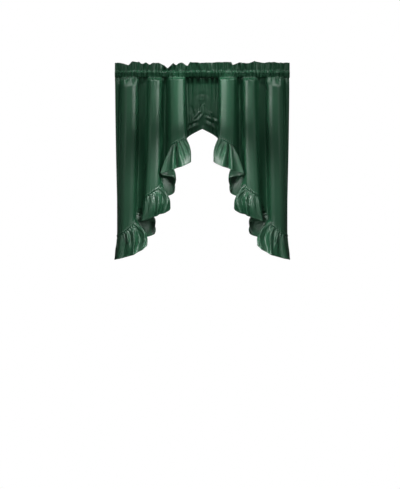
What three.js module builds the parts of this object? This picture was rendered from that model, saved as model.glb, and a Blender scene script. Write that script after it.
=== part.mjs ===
// Ruffled swag curtain for a rod pocket, hanging gathered as on its rod.
//
// The origin is at the middle of the rod pocket. +X runs along the rod, +Z is up, and the room is
// on the -Y side. Sizes are in millimetres. The pieces are sheets of cloth in their hanging shape:
// the heading with its pocket, the body with three pipe folds on each side of a set-back arch, and
// the ruffle that is sewn along the whole lower edge and cascades down both tails.

import * as THREE from 'three';

// ---- Driving sizes -------------------------------------------------------------------------

const HALF_WIDTH = 425.6;      // gathered half width along the rod
const HALF_FLAT = 711;         // half width of the cloth before it is gathered
const CLOTH = 2;               // thickness of a sheet with its hems and gathers
const GAP = 0.3;               // clearance between two pieces that are sewn together

const POCKET_FRONT = -14;      // rod pocket, outside
const POCKET_BACK = 12;
const POCKET_HALF_HEIGHT = 16;
const POCKET_WALL = 2.4;
const POCKET_FLOOR_HALF = 7;   // half width of the flat under the pocket where the body hangs
const POCKET_SHOULDER = 0.62;  // share of its half height at which the pocket turns in
const FRILL_THICKNESS = 4.4;   // the frill is folded double
const STITCH_SWELL = 0.6;      // how much thicker each side is at the stitch line
const FRILL_ROOT = 19;         // height of the stitch line between pocket and frill

const OPENING_LENGTH = 30;     // all of the body has its full depth at this drop
const OPEN_AT_TOP = 0.14;      // share of the depth that they have at the pocket
const FALL = 1.6;              // how late the folds lean outwards on their way down
const RUFFLE_SWELL = 0.36;     // how far a flounce swells past a straight fall
const PLEAT_DEPTH = 4.5;       // depth of the radiating pleats at the hem
const PLEAT_PITCH = 33;        // their spacing along the flat cloth
const FULL_PUFF = 12;          // puff of a flounce whose pleats have their full depth

const COLUMNS_PER_HALF = 66;   // columns of the body and the ruffle, which share their seam
const TOP_DROPS = [0, 8, 18, OPENING_LENGTH];   // drops below the pocket of the body's first rows
const LOWER_ROWS = [0.34, 0.67, 1];              // the others, as shares of the rest of its height
const RUFFLE_ROWS = [0, 0.1, 0.32, 0.56, 0.8, 1];
const HEADING_COLUMNS = 70;

// Lines along the body, from the centre outwards, mirrored for the other half. flat is the
// distance from the centre line on the flat cloth, top and low are the places across at the pocket
// and at the seam, depth and lowDepth the places in depth there, and seam the height of the seam.
const FOLD_LINES = [
  { name: 'centre',      flat: 0,   top: 0,     low: 0,   depth: 16,  lowDepth: 16,  seam: -145 },
  { name: 'pucker',      flat: 40,  top: 36,    low: 36,  depth: 14,  lowDepth: 12,  seam: -186 },
  { name: 'recess',      flat: 76,  top: 68,    low: 63,  depth: 18,  lowDepth: 16,  seam: -230 },
  { name: 'corner',      flat: 95,  top: 80,    low: 74,  depth: 8,   lowDepth: 8,   seam: -259 },
  { name: 'C wall',      flat: 142, top: 86,    low: 79,  depth: -34, lowDepth: -34, seam: -305 },
  { name: 'C crest',     flat: 162, top: 98,    low: 90,  depth: -47, lowDepth: -46, seam: -318 },
  { name: 'C front',     flat: 182, top: 116,   low: 109, depth: -48, lowDepth: -46, seam: -328 },
  { name: 'C back',      flat: 225, top: 153,   low: 146, depth: -35, lowDepth: -32, seam: -346 },
  { name: 'C valley',    flat: 255, top: 166,   low: 164, depth: -5,  lowDepth: -6,  seam: -378 },
  { name: 'deep valley', flat: 297, top: 181,   low: 183, depth: 24,  lowDepth: 24,  seam: -460 },
  { name: 'B wall',      flat: 352, top: 200,   low: 202, depth: -24, lowDepth: -24, seam: -540 },
  { name: 'B crest',     flat: 376, top: 216,   low: 220, depth: -42, lowDepth: -42, seam: -562 },
  { name: 'B front',     flat: 392, top: 230,   low: 236, depth: -43, lowDepth: -43, seam: -572 },
  { name: 'B back',      flat: 432, top: 256,   low: 274, depth: -35, lowDepth: -34, seam: -598 },
  { name: 'B valley',    flat: 460, top: 268,   low: 287, depth: 2,   lowDepth: 0,   seam: -628 },
  { name: 'wide valley', flat: 495, top: 304,   low: 316, depth: 20,  lowDepth: 20,  seam: -674 },
  { name: 'A wall',      flat: 552, top: 319,   low: 332, depth: -28, lowDepth: -28, seam: -718 },
  { name: 'A crest',     flat: 574, top: 330,   low: 345, depth: -44, lowDepth: -44, seam: -737 },
  { name: 'A front',     flat: 592, top: 348,   low: 363, depth: -45, lowDepth: -43, seam: -753 },
  { name: 'A back',        flat: 641, top: 389,   low: 404, depth: -24, lowDepth: -26, seam: -786 },
  { name: 'side valley',   flat: 664, top: 400,   low: 411, depth: 4,   lowDepth: -8,  seam: -790 },
  { name: 'side curl',     flat: 687, top: 413,   low: 415, depth: -9,  lowDepth: 6,   seam: -791 },
  { name: 'side edge',     flat: 711, top: 424.6, low: 411, depth: 6,   lowDepth: 24,  seam: -792 },
];

// How far below the pocket the cloth reaches its full depth: the folds open almost at once.
const OPENINGS = [
  { flat: 0, length: OPENING_LENGTH }, { flat: 76, length: 28 },  { flat: 100, length: 9 },
  { flat: 225, length: 9 },            { flat: 262, length: 24 }, { flat: 300, length: OPENING_LENGTH },
  { flat: 348, length: 15 },           { flat: 440, length: 15 }, { flat: 480, length: 27 },
  { flat: 552, length: 24 },           { flat: 711, length: OPENING_LENGTH },
];

// Places of the ruffle's free hem, in the order in which it zigzags down a tail. flat is where the
// ruling from there meets the seam, x, y and z are the hem's place, and puff is how far the cloth
// between them stands out to the front.
const HEM_TURNS = [
  { name: 'arch',        flat: 0,   x: 0,   y: 13,  z: -265, puff: 5 },
  { name: 'arch side',   flat: 40,  x: 36,  y: 14,  z: -283, puff: 5 },
  { name: 'arch end',    flat: 82,  x: 73,  y: 19,  z: -308, puff: 0 },
  { name: 'behind C',    flat: 116, x: 106, y: 0,   z: -388, puff: 0 },
  { name: 'C inner',     flat: 150, x: 52,  y: -50, z: -420, puff: 6 },
  { name: 'C front',     flat: 196, x: 124, y: -66, z: -460, puff: 12 },
  { name: 'C outer',     flat: 245, x: 200, y: -46, z: -488, puff: 4 },
  { name: 'C under',     flat: 272, x: 138, y: -22, z: -502, puff: 2 },
  { name: 'C return',    flat: 300, x: 131, y: -6,  z: -566, puff: 2 },
  { name: 'behind B',    flat: 328, x: 186, y: 16,  z: -606, puff: 0 },
  { name: 'B inner',     flat: 362, x: 155, y: -48, z: -652, puff: 6 },
  { name: 'B front',     flat: 410, x: 222, y: -66, z: -690, puff: 12 },
  { name: 'B outer',     flat: 458, x: 293, y: -44, z: -716, puff: 4 },
  { name: 'B under',     flat: 480, x: 238, y: -22, z: -716, puff: 2 },
  { name: 'B return',    flat: 504, x: 227, y: -6,  z: -770, puff: 2 },
  { name: 'behind A',    flat: 528, x: 300, y: 14,  z: -803, puff: 0 },
  { name: 'A inner',     flat: 559, x: 271, y: -46, z: -828, puff: 6 },
  { name: 'A front',     flat: 606, x: 340, y: -66, z: -880, puff: 12 },
  { name: 'A outer',     flat: 660, x: 421, y: -42, z: -902, puff: 6 },
  { name: 'ruffle end',  flat: 711, x: 423, y: 14,  z: -899, puff: 2 },
];

// Top edge of the frill: crests and notches along the rod.
const FRILL_EDGE = [
  { x: -425.6, top: 57 }, { x: -394, top: 55 }, { x: -359, top: 47 }, { x: -339, top: 63 },
  { x: -310, top: 62 },   { x: -295, top: 52 }, { x: -275, top: 57 }, { x: -256, top: 49 },
  { x: -236, top: 57 },   { x: -212, top: 56 }, { x: -187, top: 44 }, { x: -167, top: 32 },
  { x: -143, top: 54 },   { x: -128, top: 47 }, { x: -103, top: 59 }, { x: -74, top: 44 },
  { x: -57, top: 60 },    { x: -20, top: 57 },  { x: 64, top: 59 },   { x: 138, top: 61 },
  { x: 150, top: 49 },    { x: 187, top: 58 },  { x: 221, top: 54 },  { x: 256, top: 65 },
  { x: 295, top: 57 },    { x: 335, top: 60 },  { x: 384, top: 58 },  { x: 425.6, top: 57 },
];

// ---- Curves and sheets ---------------------------------------------------------------------

// A smooth function through one column of a table, which never swings past its rows.
function track(rows, along, column) {
  const at = rows.map((row) => row[along]);
  const value = rows.map((row) => row[column]);
  const rise = at.slice(1).map((a, i) => (value[i + 1] - value[i]) / (a - at[i]));
  const slope = at.map((_, i) => {
    const before = rise[Math.max(i - 1, 0)];
    const after = rise[Math.min(i, rise.length - 1)];
    return before * after <= 0 ? 0 : (2 * before * after) / (before + after);
  });
  return (place) => {
    let i = 0;
    while (i < rise.length - 1 && place > at[i + 1]) i += 1;
    const span = at[i + 1] - at[i];
    const t = THREE.MathUtils.clamp((place - at[i]) / span, 0, 1);
    const t2 = t * t;
    const t3 = t2 * t;
    return value[i] * (2 * t3 - 3 * t2 + 1) + value[i + 1] * (3 * t2 - 2 * t3)
      + span * (slope[i] * (t3 - 2 * t2 + t) + slope[i + 1] * (t3 - t2));
  };
}

// Unit normals of a grid of points, from the differences to the neighbours along and down it.
function gridNormals(grid) {
  const last = grid.length - 1;
  const end = grid[0].length - 1;
  return grid.map((column, i) => column.map((_, j) => {
    const along = new THREE.Vector3().subVectors(
      grid[Math.min(i + 1, last)][j], grid[Math.max(i - 1, 0)][j]);
    const down = new THREE.Vector3().subVectors(
      column[Math.min(j + 1, end)], column[Math.max(j - 1, 0)]);
    return along.cross(down).normalize();
  }));
}

// A closed solid of even thickness around a grid of points.
function sheetGeometry(grid, normals, thickness) {
  const columns = grid.length;
  const rows = grid[0].length;
  const positions = [];
  for (const side of [0.5, -0.5]) {
    grid.forEach((column, i) => column.forEach((point, j) => {
      positions.push(...point.clone().addScaledVector(normals[i][j], side * thickness));
    }));
  }
  const index = [];
  const front = (i, j) => i * rows + j;
  const back = (i, j) => columns * rows + front(i, j);
  const quad = (a, b, c, d) => index.push(a, b, c, a, c, d);
  for (let i = 0; i < columns - 1; i += 1) {
    for (let j = 0; j < rows - 1; j += 1) {
      quad(front(i, j), front(i + 1, j), front(i + 1, j + 1), front(i, j + 1));
      quad(back(i, j), back(i, j + 1), back(i + 1, j + 1), back(i + 1, j));
    }
    quad(front(i, 0), back(i, 0), back(i + 1, 0), front(i + 1, 0));
    quad(front(i, rows - 1), front(i + 1, rows - 1), back(i + 1, rows - 1), back(i, rows - 1));
  }
  for (let j = 0; j < rows - 1; j += 1) {
    quad(front(0, j), front(0, j + 1), back(0, j + 1), back(0, j));
    quad(front(columns - 1, j), back(columns - 1, j), back(columns - 1, j + 1),
      front(columns - 1, j + 1));
  }
  const geometry = new THREE.BufferGeometry();
  geometry.setAttribute('position', new THREE.Float32BufferAttribute(positions, 3));
  geometry.setIndex(index);
  return geometry;
}

// A closed tube whose outer and inner sections change along X; both sections run the same way.
function tunnelGeometry(outerSections, innerSections) {
  const positions = [];
  const index = [];
  const outerCount = outerSections[0].length;
  const innerCount = innerSections[0].length;
  const perColumn = outerCount + innerCount;
  outerSections.forEach((outer, i) => {
    [...outer, ...innerSections[i]].forEach((point) => positions.push(...point));
  });
  const skin = (start, count, outward) => {
    for (let i = 0; i < outerSections.length - 1; i += 1) {
      for (let k = 0; k < count; k += 1) {
        const a = i * perColumn + start + k;
        const b = i * perColumn + start + ((k + 1) % count);
        const [p, q] = outward ? [a, b] : [b, a];
        index.push(p, q, q + perColumn, p, q + perColumn, p + perColumn);
      }
    }
  };
  skin(0, outerCount, true);
  skin(outerCount, innerCount, false);
  for (const [column, turned] of [[0, true], [outerSections.length - 1, false]]) {
    const flat = (points) => points.map((point) => new THREE.Vector2(point.y, point.z));
    const faces = THREE.ShapeUtils.triangulateShape(
      flat(outerSections[column]), [flat(innerSections[column])]);
    faces.forEach(([a, b, c]) => {
      const face = turned ? [a, c, b] : [a, b, c];
      index.push(...face.map((k) => column * perColumn + k));
    });
  }
  const geometry = new THREE.BufferGeometry();
  geometry.setAttribute('position', new THREE.Float32BufferAttribute(positions, 3));
  geometry.setIndex(index);
  return geometry;
}

// ---- Body ----------------------------------------------------------------------------------

const fold = Object.fromEntries(['top', 'low', 'depth', 'lowDepth', 'seam']
  .map((column) => [column, track(FOLD_LINES, 'flat', column)]));

const openingLength = track(OPENINGS, 'flat', 'length');

// One column of the body, from the pocket to the seam, at a signed flat distance from the centre.
function bodyColumn(flat) {
  const distance = Math.abs(flat);
  const height = -POCKET_HALF_HEIGHT - GAP - fold.seam(distance);
  const lowerDrops = LOWER_ROWS.map((share) => THREE.MathUtils.lerp(OPENING_LENGTH, height, share));
  return [...TOP_DROPS, ...lowerDrops].map((drop) => {
    const down = drop / height;
    const across = THREE.MathUtils.lerp(fold.top(distance), fold.low(distance), down ** FALL);
    const depth = THREE.MathUtils.lerp(fold.depth(distance), fold.lowDepth(distance), down);
    const open = THREE.MathUtils.lerp(
      OPEN_AT_TOP, 1, THREE.MathUtils.smoothstep(drop, 0, openingLength(distance)));
    return new THREE.Vector3(
      Math.sign(flat) * across, depth * open, -POCKET_HALF_HEIGHT - GAP - drop);
  });
}

const flats = Array.from({ length: 2 * COLUMNS_PER_HALF + 1 },
  (_, i) => (i / COLUMNS_PER_HALF - 1) * HALF_FLAT);
const bodyGrid = flats.map(bodyColumn);
const bodyNormals = gridNormals(bodyGrid);
bodyNormals.forEach((column) => column[0].setZ(0).normalize());

// ---- Ruffle --------------------------------------------------------------------------------

const hem = Object.fromEntries(['x', 'y', 'z', 'puff']
  .map((column) => [column, track(HEM_TURNS, 'flat', column)]));

// Level direction across the hem's run, along which its pleats swing.
function pleatDirection(distance) {
  const step = 2;
  const from = Math.max(distance - step, 0);
  const to = Math.min(distance + step, HALF_FLAT);
  const run = new THREE.Vector2(hem.x(to) - hem.x(from), hem.y(to) - hem.y(from));
  return run.lengthSq() > 0 ? run.normalize() : run.set(1, 0);
}

// Point of the ruffle at a signed flat distance and a share of the way from the seam to the hem.
function rufflePoint(flat, seam, share) {
  const distance = Math.abs(flat);
  const side = Math.sign(flat) || 1;
  const swell = Math.sin(Math.PI * share);
  const run = pleatDirection(distance);
  const swing = (hem.puff(distance) / FULL_PUFF) * PLEAT_DEPTH * share;
  const pleat = swing * Math.cos((2 * Math.PI * distance) / PLEAT_PITCH);
  const x = THREE.MathUtils.lerp(side * seam.x, hem.x(distance), share + RUFFLE_SWELL * swell);
  const y = THREE.MathUtils.lerp(seam.y, hem.y(distance), share) - hem.puff(distance) * swell;
  const z = THREE.MathUtils.lerp(seam.z, hem.z(distance), share);
  return new THREE.Vector3(side * (x - pleat * run.y), y + pleat * run.x, z);
}

// The ruffle starts a seam's clearance below the body's edge, square to that edge in the cloth.
const bodyEnd = bodyGrid[0].length - 1;
const seamPoints = bodyGrid.map((column, i) => {
  const before = bodyGrid[Math.max(i - 1, 0)][bodyEnd];
  const after = bodyGrid[Math.min(i + 1, bodyGrid.length - 1)][bodyEnd];
  const along = new THREE.Vector3().subVectors(after, before).normalize();
  const out = new THREE.Vector3().crossVectors(bodyNormals[i][bodyEnd], along).normalize();
  if (out.z > 0) out.negate();
  return column[bodyEnd].clone().addScaledVector(out, GAP);
});
const ruffleGrid = flats.map((flat, i) => RUFFLE_ROWS.map(
  (share) => rufflePoint(flat, seamPoints[i], share)));
const ruffleNormals = gridNormals(ruffleGrid);
ruffleNormals.forEach((column, i) => column[0].copy(bodyNormals[i][bodyEnd]));

// ---- Heading -------------------------------------------------------------------------------

const frillTop = track(FRILL_EDGE, 'x', 'top');

// Waves along the heading, each with the length of one wave over two pi, its height and its
// start: slow and quick ones with which the gathered frill stands forward and back of the rod, and
// the soft ridges of the gathers on the pocket.
const FRILL_WAVES = [
  { length: 19, height: 5, start: 0 },
  { length: 8.5, height: 3, start: 1 },
];
const POCKET_WAVES = [{ length: 7.5, height: 1.1, start: 0 }];

function waves(rows, x) {
  return rows.reduce((sum, wave) => sum + wave.height * Math.sin(x / wave.length + wave.start), 0);
}

// Outside of the heading, from the frill's top edge down the front and up the back.
function headingSection(x) {
  const top = frillTop(x);
  const middle = (top + FRILL_ROOT) / 2;
  const lean = waves(FRILL_WAVES, x);
  const half = FRILL_THICKNESS / 2;
  const front = POCKET_FRONT - waves(POCKET_WAVES, x);
  const shoulder = POCKET_SHOULDER * POCKET_HALF_HEIGHT;
  const outer = [
    [lean - half, top], [lean / 2 - half, middle], [-half - STITCH_SWELL, FRILL_ROOT],
    [0.78 * front, shoulder], [front, 0], [0.8 * front, -shoulder],
    [-POCKET_FLOOR_HALF, -POCKET_HALF_HEIGHT], [POCKET_FLOOR_HALF, -POCKET_HALF_HEIGHT],
    [POCKET_BACK, -0.3 * POCKET_HALF_HEIGHT], [0.8 * POCKET_BACK, shoulder],
    [half + STITCH_SWELL, FRILL_ROOT], [lean / 2 + half, middle], [lean + half, top],
  ];
  return outer.map(([y, z]) => new THREE.Vector3(x, y, z));
}

// Inside of the pocket, one wall's thickness within it, the same way round.
function tunnelSection(x) {
  const front = POCKET_FRONT - waves(POCKET_WAVES, x) + POCKET_WALL;
  const back = POCKET_BACK - POCKET_WALL;
  const roof = FRILL_ROOT - 2 * POCKET_WALL;
  const floor = -POCKET_HALF_HEIGHT + POCKET_WALL;
  const floorHalf = POCKET_FLOOR_HALF - POCKET_WALL;
  const shoulder = POCKET_SHOULDER * POCKET_HALF_HEIGHT - STITCH_SWELL;
  const inner = [
    [0, roof], [0.76 * front, shoulder], [front, 0], [0.74 * front, -shoulder],
    [-floorHalf, floor], [floorHalf, floor], [back, -0.25 * POCKET_HALF_HEIGHT],
    [0.74 * back, shoulder],
  ];
  return inner.map(([y, z]) => new THREE.Vector3(x, y, z));
}

const headingPlaces = Array.from({ length: HEADING_COLUMNS + 1 },
  (_, i) => (2 * i / HEADING_COLUMNS - 1) * HALF_WIDTH);

// ---- The curtain ---------------------------------------------------------------------------

// Satin-faced cloth, a little lighter or darker by piece.
function clothMaterial(color) {
  return new THREE.MeshStandardMaterial({ color, roughness: 0.55, metalness: 0 });
}

function piece(name, geometry, color) {
  const mesh = new THREE.Mesh(geometry, clothMaterial(color));
  mesh.name = name;
  return mesh;
}

const curtain = new THREE.Group();
curtain.name = 'ruffled_swag_curtain';
curtain.add(
  piece('heading', tunnelGeometry(headingPlaces.map(headingSection),
    headingPlaces.map(tunnelSection)), 0x274a38),
  piece('body', sheetGeometry(bodyGrid, bodyNormals, CLOTH), 0x2f5843),
  piece('ruffle', sheetGeometry(ruffleGrid, ruffleNormals, CLOTH), 0x36614b),
);

export default curtain;
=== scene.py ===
import bpy
import numpy as np
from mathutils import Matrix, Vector


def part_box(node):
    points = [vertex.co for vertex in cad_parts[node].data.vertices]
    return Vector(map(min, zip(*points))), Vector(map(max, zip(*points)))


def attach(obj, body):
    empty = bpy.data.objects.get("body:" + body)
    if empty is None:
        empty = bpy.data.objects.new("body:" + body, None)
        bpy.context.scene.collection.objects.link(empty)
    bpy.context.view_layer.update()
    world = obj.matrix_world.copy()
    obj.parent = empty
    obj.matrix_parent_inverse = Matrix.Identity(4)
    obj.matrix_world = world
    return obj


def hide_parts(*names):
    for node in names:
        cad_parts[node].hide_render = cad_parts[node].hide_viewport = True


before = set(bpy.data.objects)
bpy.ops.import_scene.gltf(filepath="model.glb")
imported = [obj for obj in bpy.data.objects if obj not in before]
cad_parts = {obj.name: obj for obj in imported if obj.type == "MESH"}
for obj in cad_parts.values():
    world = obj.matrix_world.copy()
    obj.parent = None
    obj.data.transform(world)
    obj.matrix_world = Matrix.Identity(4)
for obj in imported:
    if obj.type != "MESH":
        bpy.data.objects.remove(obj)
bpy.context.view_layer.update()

# ---------------------------------------------------------------------------------------------
# Camera, lights and floor.
# A long lens looks level and square at the curtain from well back. Small soft lamps stand in
# pairs in front of it: those near the middle cross to the far half and light the inner sides of
# the folds, those above and outside light their backs. One pair shines from behind, one on the
# floor, and a pale surround fills the shadows.

CAMERA_DISTANCE = 8.5
PICTURE_HEIGHT = 2.381          # height of what the camera takes in at the curtain
CAMERA_HEIGHT = -0.828
CAMERA_ACROSS = -0.011
SENSOR = 36.0
SURROUND_FILL = 0.08            # light of the surround on the curtain; the camera sees it white


def aim(thing, place, target):
    """Puts a thing at a place and turns its -Z axis towards the target, with its Y axis upright."""
    thing.location = place
    direction = Vector(target) - Vector(place)
    thing.rotation_euler = direction.to_track_quat("-Z", "Y").to_euler()


camera = bpy.data.objects.new("camera", bpy.data.cameras.new("camera"))
bpy.context.scene.collection.objects.link(camera)
camera.data.lens = SENSOR * CAMERA_DISTANCE / PICTURE_HEIGHT
camera.data.sensor_width = SENSOR
camera.data.clip_end = 60.0
aim(camera, (CAMERA_ACROSS, -CAMERA_DISTANCE, CAMERA_HEIGHT), (CAMERA_ACROSS, 0.0, CAMERA_HEIGHT))
bpy.context.scene.camera = camera

# One line for each kind of lamp, which stands once on each side: its place, the point that it
# looks at, its width and height, the spread of its beam in degrees and its power.
LAMP_COLUMNS = ("name", "place", "target", "size", "spread", "power")
LAMPS = [dict(zip(LAMP_COLUMNS, row)) for row in (
    ("outer", (0.90, -0.50, 0.10), (0.27, 0.0, -0.42), (0.25, 0.80), 36, 0.23),
    ("inner", (0.18, -0.38, 0.06), (-0.303, 0.0, -0.13), (0.18, 0.20), 28, 0.105),
    ("narrow", (0.02, -0.50, 0.10), (-0.125, 0.0, -0.14), (0.05, 0.25), 9, 0.041),
    ("low", (0.20, -0.40, -0.40), (-0.16, 0.0, -0.415), (0.05, 0.20), 22, 0.064),
    ("floor", (0.35, -0.90, -0.75), (-0.27, 0.0, -0.90), (0.20, 0.20), 16, 0.21),
    ("top", (0.30, -0.60, 0.60), (0.26, 0.0, -0.25), (0.50, 0.10), 60, 0.38),
    ("crown", (0.27, -0.25, 0.50), (0.27, 0.0, -0.02), (0.20, 0.05), 34, 0.045),
    ("middle", (0.10, -0.28, 0.36), (0.06, 0.0, 0.0), (0.20, 0.05), 30, 0.042),
    ("steep", (0.02, -0.45, -0.20), (0.27, 0.0, -0.70), (0.20, 0.20), 48, 0.36),
    ("back", (0.55, 1.40, 0.50), (0.20, 0.0, -0.40), (0.80, 0.80), 70, 4.0),
    ("below", (0.60, 0.20, -1.30), (0.60, 0.20, -2.25), (1.00, 1.00), 120, 4.0),
)]
for lamp_row in LAMPS:
    for side, name in ((-1, "left"), (1, "right")):
        lamp = bpy.data.lights.new(lamp_row["name"] + "_" + name, "AREA")
        lamp.shape = "RECTANGLE"
        lamp.size, lamp.size_y = lamp_row["size"]
        lamp.energy = lamp_row["power"]
        lamp.spread = np.radians(lamp_row["spread"])
        holder = bpy.data.objects.new(lamp.name, lamp)
        bpy.context.scene.collection.objects.link(holder)
        place, target = lamp_row["place"], lamp_row["target"]
        aim(holder, (side * place[0], place[1], place[2]), (side * target[0], target[1], target[2]))
        holder.visible_camera = False

world = bpy.data.worlds.new("surround")
bpy.context.scene.world = world
world.use_nodes = True
nodes, links = world.node_tree.nodes, world.node_tree.links
nodes.clear()
fill = nodes.new("ShaderNodeBackground")
fill.inputs["Color"].default_value = (1.0, 1.0, 1.0, 1.0)
fill.inputs["Strength"].default_value = SURROUND_FILL
backdrop = nodes.new("ShaderNodeBackground")
backdrop.inputs["Color"].default_value = (1.0, 1.0, 1.0, 1.0)
backdrop.inputs["Strength"].default_value = 1.0
sight = nodes.new("ShaderNodeLightPath")
choice = nodes.new("ShaderNodeMixShader")
output = nodes.new("ShaderNodeOutputWorld")
links.new(sight.outputs["Is Camera Ray"], choice.inputs["Fac"])
links.new(fill.outputs["Background"], choice.inputs[1])
links.new(backdrop.outputs["Background"], choice.inputs[2])
links.new(choice.outputs["Shader"], output.inputs["Surface"])
bpy.context.scene.view_settings.view_transform = "Standard"

FLOOR_DEPTH = -2.25
FLOOR_HALF = 1.1
FLOOR_GREY = (0.8, 0.8, 0.79, 1)
floor_mesh = bpy.data.meshes.new("floor")
floor_mesh.from_pydata(
    [(x * FLOOR_HALF, y * FLOOR_HALF, FLOOR_DEPTH) for x, y in ((-1, -1), (1, -1), (1, 1), (-1, 1))],
    [], [(0, 1, 2, 3)])
floor = bpy.data.objects.new("floor", floor_mesh)
bpy.context.scene.collection.objects.link(floor)
floor_material = bpy.data.materials.new("pale_floor")
floor_material.use_nodes = True
floor_shader = floor_material.node_tree.nodes["Principled BSDF"]
floor_shader.inputs["Base Color"].default_value = FLOOR_GREY
floor_shader.inputs["Roughness"].default_value = 0.9
floor_mesh.materials.append(floor_material)

# ---------------------------------------------------------------------------------------------
# Cloth.
# One dark green plain-weave cotton and polyester cloth is used for every piece. Its face has a
# faint soft sheen along the folds, its threads vary a little in shade, and the weave shows close
# to. Each piece carries its flat cutting plan as its UV map, in metres.

MM = 0.001
CLOTH_LIGHT = (0.0085, 0.079, 0.034, 1.0)
CLOTH_DARK = (0.0070, 0.068, 0.029, 1.0)
THREAD_PITCH = 0.45 * MM
CLOTH_THICKNESS = 0.6 * MM
ROUGHNESS = 0.47
GLOSS = 0.8
WAVE_UNIT = 0.314               # scale of a wave texture with one ridge in each unit of length
WEAVE_STRENGTH = 0.25
WEAVE_HEIGHT = 0.15 * MM


def cloth_material(name, light, dark):
    """Plain weave: two crossed sets of sine ridges a thread apart as bump, streaks along both
    threads and a slow cloudiness between a lighter and a darker green as colour."""
    material = bpy.data.materials.new(name)
    material.use_nodes = True
    tree = material.node_tree
    shader = tree.nodes["Principled BSDF"]
    shader.inputs["Roughness"].default_value = ROUGHNESS
    shader.inputs["Specular IOR Level"].default_value = GLOSS
    plan = tree.nodes.new("ShaderNodeUVMap")
    plan.uv_map = "plan"
    shades = []
    for scale, stretch in (((1, 1, 1), 9.0), ((60, 900, 1), 1.0), ((900, 60, 1), 1.0)):
        place = tree.nodes.new("ShaderNodeMapping")
        place.inputs["Scale"].default_value = scale
        tree.links.new(plan.outputs["UV"], place.inputs["Vector"])
        noise = tree.nodes.new("ShaderNodeTexNoise")
        noise.inputs["Scale"].default_value = stretch
        noise.inputs["Detail"].default_value = 2.0
        tree.links.new(place.outputs["Vector"], noise.inputs["Vector"])
        shades.append(noise.outputs["Fac"])
    mix = shades[0]
    for other in shades[1:]:
        blend = tree.nodes.new("ShaderNodeMix")
        blend.data_type = "FLOAT"
        blend.inputs["Factor"].default_value = 0.4
        tree.links.new(mix, blend.inputs["A"])
        tree.links.new(other, blend.inputs["B"])
        mix = blend.outputs["Result"]
    ramp = tree.nodes.new("ShaderNodeValToRGB")
    ramp.color_ramp.elements[0].position = 0.38
    ramp.color_ramp.elements[0].color = dark
    ramp.color_ramp.elements[1].position = 0.62
    ramp.color_ramp.elements[1].color = light
    tree.links.new(mix, ramp.inputs["Fac"])
    tree.links.new(ramp.outputs["Color"], shader.inputs["Base Color"])
    weave = []
    for direction in ("X", "Y"):
        ridges = tree.nodes.new("ShaderNodeTexWave")
        ridges.bands_direction = direction
        ridges.inputs["Scale"].default_value = WAVE_UNIT / THREAD_PITCH
        tree.links.new(plan.outputs["UV"], ridges.inputs["Vector"])
        weave.append(ridges.outputs["Fac"])
    cross = tree.nodes.new("ShaderNodeMath")
    cross.operation = "MULTIPLY"
    tree.links.new(weave[0], cross.inputs[0])
    tree.links.new(weave[1], cross.inputs[1])
    bump = tree.nodes.new("ShaderNodeBump")
    bump.inputs["Strength"].default_value = WEAVE_STRENGTH
    bump.inputs["Distance"].default_value = WEAVE_HEIGHT
    tree.links.new(cross.outputs["Value"], bump.inputs["Height"])
    tree.links.new(bump.outputs["Normal"], shader.inputs["Normal"])
    return material


green_cloth = cloth_material("green_cloth", CLOTH_LIGHT, CLOTH_DARK)


def grid_normals(grid):
    """Unit normals of a grid of points, to the front: the cross product of its steps down and
    along."""
    normal = np.cross(np.gradient(grid, axis=1), np.gradient(grid, axis=0))
    return normal / np.maximum(np.linalg.norm(normal, axis=2, keepdims=True), 1e-12)


def cloth_piece(name, grid, plan, material):
    """A sheet through a grid of points, columns by rows: a quad between each four neighbours,
    smooth, with the flat plan as UV map and the cloth's thickness laid on both sides."""
    columns, rows = grid.shape[:2]
    corner = np.arange(columns * rows).reshape(columns, rows)
    quads = np.stack([corner[:-1, :-1], corner[:-1, 1:], corner[1:, 1:], corner[1:, :-1]], axis=2)
    quads = quads.reshape(-1, 4)
    mesh = bpy.data.meshes.new(name)
    mesh.vertices.add(columns * rows)
    mesh.vertices.foreach_set("co", grid.reshape(-1).astype(np.float32))
    mesh.loops.add(quads.size)
    mesh.loops.foreach_set("vertex_index", quads.reshape(-1).astype(np.int32))
    mesh.polygons.add(len(quads))
    mesh.polygons.foreach_set("loop_start", np.arange(0, quads.size, 4, dtype=np.int32))
    mesh.polygons.foreach_set("use_smooth", np.ones(len(quads), dtype=bool))
    uv = mesh.uv_layers.new(name="plan")
    uv.data.foreach_set("uv", plan.reshape(-1, 2)[quads.reshape(-1)].reshape(-1).astype(np.float32))
    mesh.update(calc_edges=True)
    mesh.validate()
    mesh.materials.append(material)
    piece = bpy.data.objects.new(name, mesh)
    bpy.context.scene.collection.objects.link(piece)
    solid = piece.modifiers.new("thickness", "SOLIDIFY")
    solid.thickness = CLOTH_THICKNESS
    solid.offset = 0.0
    return piece


def track(rows, along, column):
    """A smooth curve through one column of a table: a cubic on each span, whose slope at a row is
    the harmonic mean of the rises on both sides of it, and level where they differ in sign."""
    at = np.array([row[along] for row in rows], dtype=float)
    value = np.array([row[column] for row in rows], dtype=float)
    rise = np.diff(value) / np.diff(at)
    before, after = np.append(rise[0], rise), np.append(rise, rise[-1])
    both = np.where(np.abs(before + after) > 0, before + after, 1.0)
    slope = np.where(before * after > 0, 2 * before * after / both, 0.0)

    def curve(place):
        i = np.clip(np.searchsorted(at, place, side="right") - 1, 0, len(rise) - 1)
        span = at[i + 1] - at[i]
        t = np.clip((place - at[i]) / span, 0, 1)
        ends = value[i] * (2 * t**3 - 3 * t**2 + 1) + value[i + 1] * (3 * t**2 - 2 * t**3)
        return ends + span * (slope[i] * (t**3 - 2 * t**2 + t) + slope[i + 1] * (t**3 - t**2))

    return curve


def smooth_step(value, low, high):
    """0 below low, 1 above high, and the cubic 3t^2 - 2t^3 of the share t between them."""
    t = np.clip((value - low) / (high - low), 0, 1)
    return t * t * (3 - 2 * t)


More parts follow.
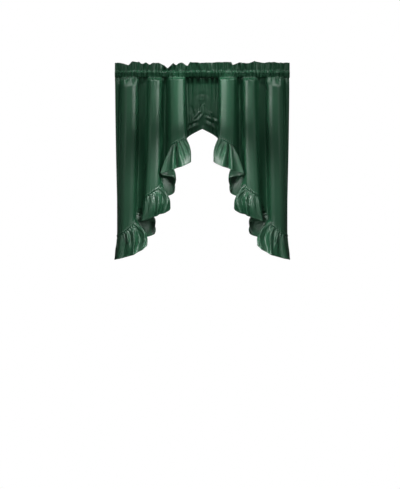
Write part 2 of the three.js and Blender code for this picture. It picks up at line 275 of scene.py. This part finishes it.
# ---------------------------------------------------------------------------------------------
# Body.
# The main panel is cut to an arch with two tails. It is gathered under the pocket, where fine
# crimps soon run out into three soft pipe folds on each side, and the middle hangs set back
# between them. The side edges curl to the back in narrow hems.

heading_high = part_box("heading")[1]
HALF_FLAT = 711.0               # half width of the flat cloth, in millimetres as all of this section
POCKET_BOTTOM = -16.3
OPEN_AT_TOP = 0.34
FALL = 1.6                      # how late the folds lean outwards on their way down
BODY_COLUMNS = 701
BODY_ROWS = 70
DROP_SAMPLES = 400              # places at which the mean drop is taken for the area

# The lines along the body, from the middle outwards: distance on the flat cloth, place across at
# the pocket and at the seam, place in depth there, and height of the seam.
FOLD_COLUMNS = ("flat", "top", "low", "depth", "low_depth", "seam")
FOLD_LINES = [dict(zip(FOLD_COLUMNS, row)) for row in (
    (0, 0, 0, 16, 16, -145),            # centre
    (40, 36, 36, 14, 12, -186),         # pucker
    (76, 68, 63, 18, 16, -230),         # recess
    (95, 80, 74, 8, 8, -259),           # its corner
    (142, 86, 79, -34, -34, -305),      # inner fold: its wall
    (162, 98, 90, -47, -46, -318),      # its crest
    (182, 116, 109, -48, -46, -328),
    (225, 153, 146, -35, -32, -346),    # its back
    (255, 166, 164, -5, -6, -378),
    (297, 181, 183, 24, 24, -460),      # deep valley
    (324, 198, 203, 6, 6, -503),
    (352, 201, 206, -22, -22, -540),    # middle fold: its wall
    (376, 211, 218, -37, -37, -562),    # its crest
    (392, 226, 235, -42, -42, -572),
    (412, 242, 254, -44, -43, -585),
    (432, 256, 274, -34, -33, -598),    # its back
    (460, 268, 287, 2, 0, -628),
    (495, 304, 316, 20, 20, -674),      # wide valley
    (522, 314, 325, 6, 6, -696),
    (552, 318, 329, -29, -29, -718),    # outer fold: its wall
    (574, 327, 339, -40, -40, -737),    # its crest
    (592, 343, 358, -46, -45, -753),
    (614, 363, 379, -47, -45, -770),
    (641, 388, 404, -27, -27, -786),    # its back
    (664, 400, 411, 4, -8, -790),       # side valley
    (687, 413, 415, -9, 6, -791),       # side curl
    (711, 424.6, 411, 6, 24, -792),     # side edge
)]
fold = {column: track(FOLD_LINES, "flat", column) for column in FOLD_COLUMNS[1:]}

# How far below the pocket the cloth reaches its full depth, by distance on the flat cloth: the
# folds open at once, the outer one later.
OPENING_COLUMNS = ("flat", "length")
OPENINGS = [dict(zip(OPENING_COLUMNS, row)) for row in (
    (0, 30), (76, 28), (100, 12), (225, 12), (262, 24), (300, 30), (348, 15), (440, 15),
    (480, 27), (552, 34), (600, 44), (640, 40), (711, 30),
)]
opening_length = track(OPENINGS, "flat", "length")

# Creases that run down from the pocket: signed distance on the flat cloth, half width, height,
# how far they reach down, and how far they lean outwards on the way.
TUCK_COLUMNS = ("flat", "half", "height", "reach", "lean")
TUCKS = [dict(zip(TUCK_COLUMNS, row)) for row in (
    (7, 6, 5.0, 90, 0), (22, 6, -6.0, 95, 3), (41, 6, 6.0, 85, 4), (55, 5, -6.0, 90, 5),
    (66, 5, 6.0, 110, 5), (82, 6, -6.0, 120, 0), (122, 4, -2.5, 30, 0), (150, 4, 2.0, 22, 0),
    (206, 5, -2.0, 26, 4), (222, 5, 2.5, 34, 6), (250, 6, 2.5, 60, 8), (268, 6, -3.0, 80, 12),
    (318, 6, 3.0, 70, -6), (334, 5, -3.0, 55, 6), (350, 5, 2.5, 40, 0), (384, 5, -3.0, 16, 0),
    (396, 4, 5.0, 18, -4), (406, 4, -4.0, 22, 8), (416, 4, 3.5, 26, 12), (428, 4, -3.0, 26, 12),
    (446, 5, 3.0, 30, 8), (470, 6, -2.5, 60, 0), (488, 6, 2.5, 70, 0), (508, 6, -2.5, 80, 0),
    (528, 6, 2.5, 60, 0), (560, 5, 4.5, 30, -10), (576, 5, -3.5, 22, 0), (598, 7, 4.5, 26, 0),
    (617, 5, -5.0, 26, 4), (627, 4, 5.0, 34, 4), (640, 5, -3.5, 40, 6), (676, 5, 3.0, 120, 0),
    (694, 5, -2.5, 160, 0),
)]


def body_surface(flat, share):
    """Point of the body at a signed distance on the flat cloth and a share of the way down: the
    fold lines joined smoothly across, each leaning late from its top to its low place, and all
    of them flattened towards the pocket over the opening length."""
    distance = np.abs(flat)
    drop = share * (POCKET_BOTTOM - fold["seam"](distance))
    fall = share**FALL
    across = fold["top"](distance) * (1 - fall) + fold["low"](distance) * fall
    depth = fold["depth"](distance) * (1 - share) + fold["low_depth"](distance) * share
    way = np.clip(drop / opening_length(distance), 0, 1)
    opened = OPEN_AT_TOP + (1 - OPEN_AT_TOP) * (0.65 * way + 0.35 * smooth_step(way, 0, 1))
    return np.stack([np.sign(flat) * across, depth * opened, POCKET_BOTTOM - drop], axis=-1), drop


def gathers(x, drop):
    """Height of the crimps that run down from the pocket: three cosines along the rod, their
    phases wandering slowly, that fade down the cloth at three rates."""
    wander = 1.8 * np.sin(x / 41.0) + 1.2 * np.sin(x / 17.0 + 2.0)
    fine = 1.2 * np.cos(2 * np.pi * x / 9.5 + wander) * np.exp(-drop / 6.0)
    middle = 1.8 * np.cos(2 * np.pi * x / 16.0 - wander) * np.exp(-drop / 10.0)
    broad = 1.5 * np.cos(2 * np.pi * x / 27.0 + 2.0 * wander) * np.exp(-drop / 24.0)
    return fine + middle + broad


def tucks(flat, drop):
    """Height of the listed creases: a bell curve across each, widening and fading downwards."""
    total = np.zeros_like(flat)
    distance = np.abs(flat)
    for tuck in TUCKS:
        down = drop / tuck["reach"]
        centre = tuck["flat"] + tuck["lean"] * np.minimum(down, 1.5)
        bell = np.exp(-((distance - centre) / (tuck["half"] * (1 + 0.5 * down))) ** 2)
        total += tuck["height"] * bell * np.exp(-down**2)
    return total


def seam_puckers(flat, above):
    """Height of the small puckers along the seam: a cosine across that fades up the cloth, and an
    uneven lip that stands over the seam."""
    wander = 1.5 * np.sin(flat / 29.0) + np.sin(flat / 11.0 + 2.0)
    puckers = 1.2 * np.cos(2 * np.pi * flat / 11.5 + wander) * np.exp(-above / 14.0)
    lip = (2.2 + 1.2 * np.sin(flat / 9.0)) * smooth_step(np.abs(flat), 90, 135)
    return puckers + lip * np.exp(-((above - 6.0) / 3.5) ** 2)


# Wrinkles of the middle, over the body and the strip below it: from where to where, half width and
# height.
WRINKLE_COLUMNS = ("x", "z", "x_end", "z_end", "half", "height")
WRINKLES = [dict(zip(WRINKLE_COLUMNS, row)) for row in (
    (-15, -183, -48, -222, 5, 5.0), (-7, -190, -34, -216, 4, -4.0), (3, -193, -21, -224, 5, 4.0),
    (-36, -178, -35, -181, 5, 4.0), (-52, -160, -40, -196, 7, -4.0), (9, -146, -3, -162, 4, 3.5),
    (6, -196, 4, -246, 8, -6.0), (-70, -268, -25, -246, 6, 5.0), (-66, -246, -32, -232, 5, -3.0),
    (-62, -236, -30, -224, 5, 3.0), (19, -197, 72, -214, 5, -4.0), (22, -208, 76, -230, 5, 4.0),
    (22, -222, 76, -246, 5, -4.0), (24, -240, 72, -266, 6, 4.5), (30, -182, 46, -188, 5, 3.0),
    (-10, -122, 10, -122, 5, 2.0), (-60, -192, -58, -224, 6, 3.0),
)]
WRINKLE_GAIN = 0.8


def wrinkles(grid):
    """Height of the middle's wrinkles: a bell curve of the distance from each one's line, times the
    gain."""
    total = np.zeros(grid.shape[:2])
    for row in WRINKLES:
        start = np.array([row["x"], row["z"]], dtype=float)
        line = np.array([row["x_end"], row["z_end"]]) - start
        from_start = grid[..., [0, 2]] - start
        t = np.clip(from_start @ line / (line @ line), 0, 1)
        off = np.linalg.norm(from_start - t[..., None] * line, axis=2)
        total += WRINKLE_GAIN * row["height"] * np.exp(-(off / row["half"]) ** 2)
    return total


# The soft round ripples over the arch: radius, half width and height of each ring.
RING_COLUMNS = ("radius", "half", "height")
RINGS = [dict(zip(RING_COLUMNS, row)) for row in ((38, 6, 1.2), (51, 6, -1.2), (64, 7, 0.8))]
RING_CENTRE = -150              # height of the point that they go round
RING_FADE = 34                  # how far from the middle they die out


def arch_ripples(grid):
    """Height of the ripples in the set-back middle: a bell curve across each half ring above its
    centre, which is a little under the seam, fading to both sides."""
    distance = np.hypot(grid[..., 0], 0.9 * (grid[..., 2] - RING_CENTRE))
    total = np.zeros(grid.shape[:2])
    for ring in RINGS:
        total += ring["height"] * np.exp(-((distance - ring["radius"]) / ring["half"]) ** 2)
    return total * np.exp(-(grid[..., 0] / RING_FADE) ** 2) * (grid[..., 2] > RING_CENTRE)


ROW_CROWDING = 0.88             # how much closer the rows lie at the pocket and the seam
steps = np.linspace(0, 1, BODY_ROWS)
body_shares = steps - ROW_CROWDING * np.sin(2 * np.pi * steps) / (2 * np.pi)
flat, share = np.meshgrid(
    np.linspace(-HALF_FLAT, HALF_FLAT, BODY_COLUMNS), body_shares, indexing="ij")
body_grid, drop = body_surface(flat, share)
above = drop[:, -1:] - drop
along_rod = np.sign(flat) * fold["top"](np.abs(flat))
relief = gathers(along_rod, drop) + tucks(flat, drop) + seam_puckers(flat, above)
relief += arch_ripples(body_grid) + wrinkles(body_grid)
relief *= 0.2 + 0.8 * smooth_step(drop, 0, 5.0)
body_grid += grid_normals(body_grid) * relief[..., None]
plan = np.stack([flat, -drop], axis=-1) * MM
body = cloth_piece("body_cloth", body_grid * MM, plan, green_cloth)
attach(body, "root")
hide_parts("body")
across_half = np.linspace(0, HALF_FLAT, DROP_SAMPLES)
mean_drop = np.mean(POCKET_BOTTOM - fold["seam"](across_half))

# ---------------------------------------------------------------------------------------------
# Ruffle.
# One strip of the same cloth, hemmed along its free edge and gathered along the other, is sewn
# to the body's whole lower edge. It crosses the arch and cascades down both tails, where it
# stands out in a flounce below each fold and turns back into the valleys.

RUFFLE_COLUMNS = 1201
RUFFLE_ROWS = 40
RUFFLE_LENGTH = 2.65            # of the flat strip, in metres
RUFFLE_WIDTH = 0.125
ROW_SHIFT = 1.2                 # power that crowds the rows of the strip towards its seam
TURNED_HEM = 0.9                # how far the narrow hem stands out

# The places of the free hem, in the order in which it zigzags down a tail: distance on the body's
# flat cloth of the gather that leads there, its place, and how far the cloth between stands out.
HEM_COLUMNS = ("flat", "x", "y", "z", "puff")
HEM_TURNS = [dict(zip(HEM_COLUMNS, row)) for row in (
    (0, 0, 13, -265, 5),                # arch
    (40, 36, 14, -283, 5),
    (82, 73, 19, -308, 0),
    (116, 106, 0, -388, 0),             # behind the inner fold
    (150, 52, -50, -420, 6),            # inner flounce
    (196, 124, -66, -460, 12),
    (245, 200, -46, -488, 4),
    (272, 138, -22, -502, -4),          # its return
    (300, 131, -6, -566, -6),
    (328, 186, 16, -606, 0),            # behind the middle fold
    (362, 155, -48, -652, 6),           # middle flounce
    (410, 222, -66, -690, 12),
    (458, 293, -44, -716, 4),
    (480, 238, -22, -716, -8),          # its return
    (504, 227, -6, -770, -8),
    (528, 300, 14, -803, 0),            # behind the outer fold
    (559, 271, -46, -828, 6),           # outer flounce
    (606, 340, -66, -880, 12),
    (660, 421, -42, -902, 6),
    (711, 423, 14, -899, 2),            # end
)]
hem = {column: track(HEM_TURNS, "flat", column) for column in HEM_COLUMNS[1:]}

# How far the cloth is swept sideways on its way to the hem: most at the inner edges of the
# flounces and in their returns.
SWELL_COLUMNS = ("flat", "swell")
SWELLS = [dict(zip(SWELL_COLUMNS, row)) for row in (
    (0, 0.1), (110, 0.36), (160, 0.36), (205, 0.12), (255, 0.1), (285, 0.36), (368, 0.36),
    (405, 0.12), (455, 0.1), (485, 0.36), (565, 0.36), (605, 0.12), (711, 0.1),
)]
sweep = track(SWELLS, "flat", "swell")

# The pleats that fan out from the gathers: distance on the flat cloth at the seam and at the hem,
# half width there, height, and the shares of the way between which they are formed.
PLEAT_COLUMNS = ("root", "tip", "root_half", "tip_half", "height", "start", "end")
PLEATS = [dict(zip(PLEAT_COLUMNS, row)) for row in (
    (24, 30, 4, 7, 2, 0.1, 1.4), (34, 42, 4, 6, -2, 0.0, 1.4), (44, 52, 4, 6, 2, 0.0, 1.0),  # arch
    (58, 64, 4, 6, -3, 0.0, 1.4), (68, 72, 4, 5, 3, 0.0, 1.2),
    (156, 152, 4, 5, -4, 0.0, 1.4),     # inner flounce
    (164, 158, 3, 5, 2, 0.1, 1.5), (171, 164, 3, 4, -4, 0.0, 0.8), (178, 170, 3, 7, 4, 0.0, 1.5),
    (184, 176, 2.5, 4, -5, 0.0, 0.8), (192, 183, 3, 6, 10, 0.0, 1.5), (200, 197, 2.5, 4, -11, 0.0, 1.15),
    (206.5, 207, 2.5, 4, 9, 0.0, 1.5), (216, 224, 4, 9, -6, 0.1, 1.4), (228, 239, 4, 5, 5, 0.1, 1.4),
    (262, 258, 4, 6, 5, 0.1, 1.4), (276, 280, 4, 7, -6, 0.0, 1.4), (290, 296, 4, 6, 6, 0.1, 1.4),
    (308, 312, 4, 6, -5, 0.0, 1.2),
    (346, 364, 3, 6, -6, 0.0, 0.9),     # middle flounce
    (350, 378, 4, 6, 4, 0.3, 1.4), (358, 390, 4, 5, 12, 0.0, 1.5), (370, 400, 3, 3.5, -10, 0.0, 1.5),
    (383, 409, 3.5, 4, 12, 0.1, 1.5), (394, 419, 3, 4, -5, 0.0, 1.2), (406, 430, 4, 8, 3, 0.1, 1.4),
    (418, 441, 4, 4, -3, 0.0, 0.8), (430, 451, 3, 5, 3, 0.0, 1.4),
    (468, 470, 4, 6, 4, 0.3, 1.4), (482, 486, 4, 5, -5, 0.4, 1.4), (490, 492, 8, 9, -8, 0.0, 0.6),
    (494, 500, 4, 5, 4, 0.5, 1.4), (508, 514, 4, 6, -4, 0.4, 1.2),
    (542, 566, 3, 5, 5, 0.0, 1.4),      # outer flounce
    (550, 580, 3, 5, 9, 0.05, 1.4), (566, 591, 4, 9, -15, 0.05, 1.0), (582, 602, 3, 5, 10, 0.0, 1.3),
    (592, 611, 3, 4, -6, 0.0, 0.7), (602, 618, 3, 5, 8, 0.0, 0.6), (614, 628, 4, 7, -6, 0.0, 1.4),
    (628, 645, 4, 7, 4, 0.1, 1.4), (642, 662, 3, 5, -3, 0.0, 0.8), (656, 676, 3, 5, 3, 0.0, 1.4),
    (672, 690, 3, 5, -3, 0.0, 0.8),
)]


PLEAT_GAIN = 1.25
PLEAT_SPREAD = 1.25             # how much wider each pleat is at the hem than its row says


def ruffle_surface(flat, share, seam):
    """Point of the ruffle between its seam and its hem: a straight ruling from one to the other,
    swelled sideways and to the front by half a sine of the share."""
    distance = np.abs(flat)
    side = np.where(flat < 0, -1.0, 1.0)
    swell = np.sin(np.pi * share)
    along = share + sweep(distance) * swell
    x = side * seam[..., 0] * (1 - along) + hem["x"](distance) * along
    y = seam[..., 1] * (1 - share) + hem["y"](distance) * share - hem["puff"](distance) * swell
    z = seam[..., 2] * (1 - share) + hem["z"](distance) * share
    return np.stack([side * x, y, z], axis=-1)


def pleats(flat, share):
    """Height of the fanned pleats: a bell curve across each, growing to the hem, times the gain."""
    distance = np.abs(flat)
    total = np.zeros_like(flat)
    for pleat in PLEATS:
        centre = pleat["root"] + (pleat["tip"] - pleat["root"]) * share
        half = pleat["root_half"] + (PLEAT_SPREAD * pleat["tip_half"] - pleat["root_half"]) * share
        formed = smooth_step(share, pleat["start"] - 0.05, pleat["start"] + 0.25)
        formed = formed * (1 - smooth_step(share, pleat["end"] - 0.3, pleat["end"]))
        total += pleat["height"] * np.exp(-((distance - centre) / half) ** 2) * formed
    return PLEAT_GAIN * total * (0.7 + 0.3 * share) * smooth_step(share, 0, 0.05)


def seam_crimps(flat, share):
    """Height of the close gathers at the seam: two cosines across that fade down the strip, and
    the dip below the seam's lip."""
    wander = 3.0 * np.sin(flat / 37.0 + 0.4) + 2.0 * np.sin(flat / 13.0)
    rise = smooth_step(share, 0, 0.05) * smooth_step(-hem["y"](np.abs(flat)), 0, 40)
    fine = 1.0 * np.cos(2 * np.pi * flat / 7.5 + wander) * np.exp(-share / 0.12)
    broad = 2.0 * np.cos(2 * np.pi * flat / 13.0 - wander) * np.exp(-share / 0.22)
    return rise * (fine + broad - 2.4 * share / 0.07 * np.exp(-((share / 0.07) ** 2)))


flat, share = np.meshgrid(
    np.linspace(-HALF_FLAT, HALF_FLAT, RUFFLE_COLUMNS),
    np.linspace(0, 1, RUFFLE_ROWS) ** ROW_SHIFT, indexing="ij")
body_flat = np.linspace(-HALF_FLAT, HALF_FLAT, BODY_COLUMNS)
seam_line = [np.interp(flat[:, 0], body_flat, body_grid[:, -1, axis]) for axis in range(3)]
seam = np.repeat(np.stack(seam_line, axis=-1)[:, None, :], RUFFLE_ROWS, axis=1)
ruffle_grid = ruffle_surface(flat, share, seam)
relief = pleats(flat, share) + seam_crimps(flat, share)
relief += wrinkles(ruffle_grid) * smooth_step(share, 0, 0.35)
relief += TURNED_HEM * smooth_step(share, 0.93, 0.97)
ruffle_grid += grid_normals(ruffle_grid) * relief[..., None]
plan = np.stack([flat * MM * RUFFLE_LENGTH / (2 * HALF_FLAT * MM), -share * RUFFLE_WIDTH], axis=-1)
ruffle = cloth_piece("ruffle_cloth", ruffle_grid * MM, plan, green_cloth)
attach(ruffle, "root")
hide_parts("ruffle")

# ---------------------------------------------------------------------------------------------
# Heading.
# The top of the cloth is folded to the back and stitched twice: the lower pocket takes the rod,
# and the double frill above it stands up in uneven crests where it is gathered.

HALF_WIDTH = heading_high[0] / MM
FRILL_ROOT = 15.5
POCKET_HALF = 16.4
POCKET_FRONT = 13.2
POCKET_BACK = 11.0
LAYER = 0.9                     # half the distance between the two layers where they are stitched
HEADING_COLUMNS = 1001
HEADING_TURNS = 49
HEADING_LENGTH = 0.150          # of flat cloth from one edge over the frill to the other
FRILL_SHARE = 0.52              # of the way from the top fold to the edge that is frill
FRILL_GAIN = 1.9
FRILL_BULGE = 1.2               # how much further each layer stands off in the frill's middle

# The section of the pocket: height, and the share of its full depth that it has there. Its
# shoulder is full and its lower half slopes back to the stitch line.
POCKET_COLUMNS = ("z", "share")
POCKET_SECTION = [dict(zip(POCKET_COLUMNS, row)) for row in (
    (-POCKET_HALF, 0), (-14, 0.14), (-8.5, 0.51), (0, 0.73), (9.5, 1.0), (12.5, 0.84), (14.3, 0.46),
    (FRILL_ROOT, 0),
)]
pocket_share = track(POCKET_SECTION, "z", "share")

# The top edge of the frill: crests and notches along the rod.
FRILL_COLUMNS = ("x", "top")
FRILL_EDGE = [dict(zip(FRILL_COLUMNS, row)) for row in (
    (-425.6, 57), (-394, 55), (-359, 47), (-339, 63), (-310, 62), (-295, 52), (-275, 57),
    (-256, 49), (-236, 57), (-212, 56), (-187, 44), (-167, 32), (-143, 54), (-128, 47),
    (-103, 59), (-74, 44), (-57, 60), (-20, 57), (64, 59), (138, 61), (150, 49), (187, 58),
    (221, 54), (256, 65), (295, 57), (335, 60), (384, 58), (425.6, 57),
)]
frill_top = track(FRILL_EDGE, "x", "top")

# Pleats in the frill: place at the stitch line and at the top, half width and height.
FRILL_PLEAT_COLUMNS = ("x", "top_x", "half", "height")
FRILL_PLEATS = [dict(zip(FRILL_PLEAT_COLUMNS, row)) for row in (
    (-399, -408, 7, 4), (-385, -388, 6, -4), (-364, -362, 5, -4), (-352, -350, 6, 4),
    (-333, -336, 7, 4), (-318, -318, 6, -5), (-302, -305, 6, 5), (-286, -284, 6, -5),
    (-270, -274, 5, 5), (-258, -256, 4, -5), (-246, -247, 5, 4), (-230, -232, 5, -4),
    (-218, -214, 5, 4), (-200, -183, 6, 7), (-188, -174, 5, -6), (-176, -160, 4, 5),
    (-160, -150, 5, -6), (-148, -142, 5, 4), (-134, -128, 4, -6), (-124, -116, 5, 4),
    (-108, -104, 5, -4), (-92, -92, 6, 4), (-78, -72, 4, -6), (-64, -60, 6, 5),
    (-44, -46, 6, -3), (-4, -26, 9, 6), (14, -10, 6, -4), (34, 20, 8, 4),
    (52, 48, 6, -4), (72, 70, 7, 4), (92, 94, 6, -5), (112, 114, 7, 4),
    (132, 134, 5, -4), (146, 142, 4, 5), (158, 150, 4, -6), (172, 166, 5, 4),
    (198, 180, 6, 7), (212, 196, 5, -5), (226, 222, 6, 4), (240, 244, 5, -5),
    (254, 254, 5, 5), (270, 266, 5, -5), (286, 284, 6, 4), (304, 304, 5, -4),
    (322, 324, 6, 4), (338, 336, 5, -5), (352, 352, 5, 4), (366, 370, 5, -5),
    (380, 382, 6, 4), (396, 394, 5, -4), (410, 412, 6, 3),
)]


def frill_lean(x):
    """How far the frill stands back from the rod's middle: two sines along it."""
    return 4 * np.sin(x / 19) + 2.4 * np.sin(x / 8.5 + 1)


def frill_relief(x, up):
    """How far the frill's pleats stand forward: a bell curve across each, leaning from its place
    at the stitch line to that at the top, and the gathers of the stitch line, dying out upwards."""
    total = np.zeros_like(x)
    for pleat in FRILL_PLEATS:
        centre = pleat["x"] * (1 - up) + pleat["top_x"] * up
        half = pleat["half"] * (0.8 + 0.5 * up)
        total += pleat["height"] * np.exp(-((x - centre) / half) ** 2)
    pleated = FRILL_GAIN * total * (0.7 + 0.3 * up) * smooth_step(up, 0, 0.12)
    return pleated + gathers(x, 0) * (1 - 0.6 * up)


body_across = np.linspace(0, HALF_FLAT, int(HALF_FLAT) + 1)      # one place each millimetre


def heading_surface(x, turn):
    """Point of the heading: turn runs from -1 at the back stitch line up over the frill's top
    fold at 0 and down to 1 at the front one. Below the root the cloth stands off the rod by the
    pocket's section, whose foot follows the body's waves, and above it the two layers of the
    frill stand close together."""
    side = np.where(turn < 0, 1.0, -1.0)      # +1 behind, -1 in front
    reach = np.abs(turn)
    up = np.clip(1 - reach / FRILL_SHARE, 0, 1)          # 1 at the top fold, 0 at the root
    around = np.clip((reach - FRILL_SHARE) / (1 - FRILL_SHARE), 0, 1)
    pocket_z = FRILL_ROOT - (FRILL_ROOT + POCKET_HALF) * around
    full = np.where(side < 0, POCKET_FRONT, POCKET_BACK)
    spread = LAYER + FRILL_BULGE * np.sin(np.pi * up) ** 0.8
    frill_y = frill_lean(x) * up - frill_relief(x, up) + side * spread * smooth_step(1 - up, 0, 0.1)
    flat_here = np.interp(np.abs(x), fold["top"](body_across), body_across)
    foot = fold["depth"](flat_here) * OPEN_AT_TOP * smooth_step(around, 0.88, 1.0)
    pocket_y = foot + side * (LAYER + (full - LAYER) * pocket_share(pocket_z))
    pocket_y = pocket_y - gathers(x, 0) * (0.3 + 1.2 * smooth_step(pocket_share(pocket_z), 0, 0.6))
    in_frill = reach < FRILL_SHARE
    y = np.where(in_frill, frill_y, pocket_y)
    frill_z = FRILL_ROOT + (frill_top(x) - FRILL_ROOT) * np.sin(np.pi / 2 * up)
    return np.stack([x, y, np.where(in_frill, frill_z, pocket_z)], axis=-1)


turns = np.linspace(-1, 1, HEADING_TURNS)
x, turn = np.meshgrid(np.linspace(-HALF_WIDTH, HALF_WIDTH, HEADING_COLUMNS), turns, indexing="ij")
heading_grid = heading_surface(x, turn)
plan = np.stack([x * HALF_FLAT / HALF_WIDTH * MM, turn * HEADING_LENGTH / 2], axis=-1)
heading = cloth_piece("heading_cloth", heading_grid * MM, plan, green_cloth)
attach(heading, "root")
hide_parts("heading")
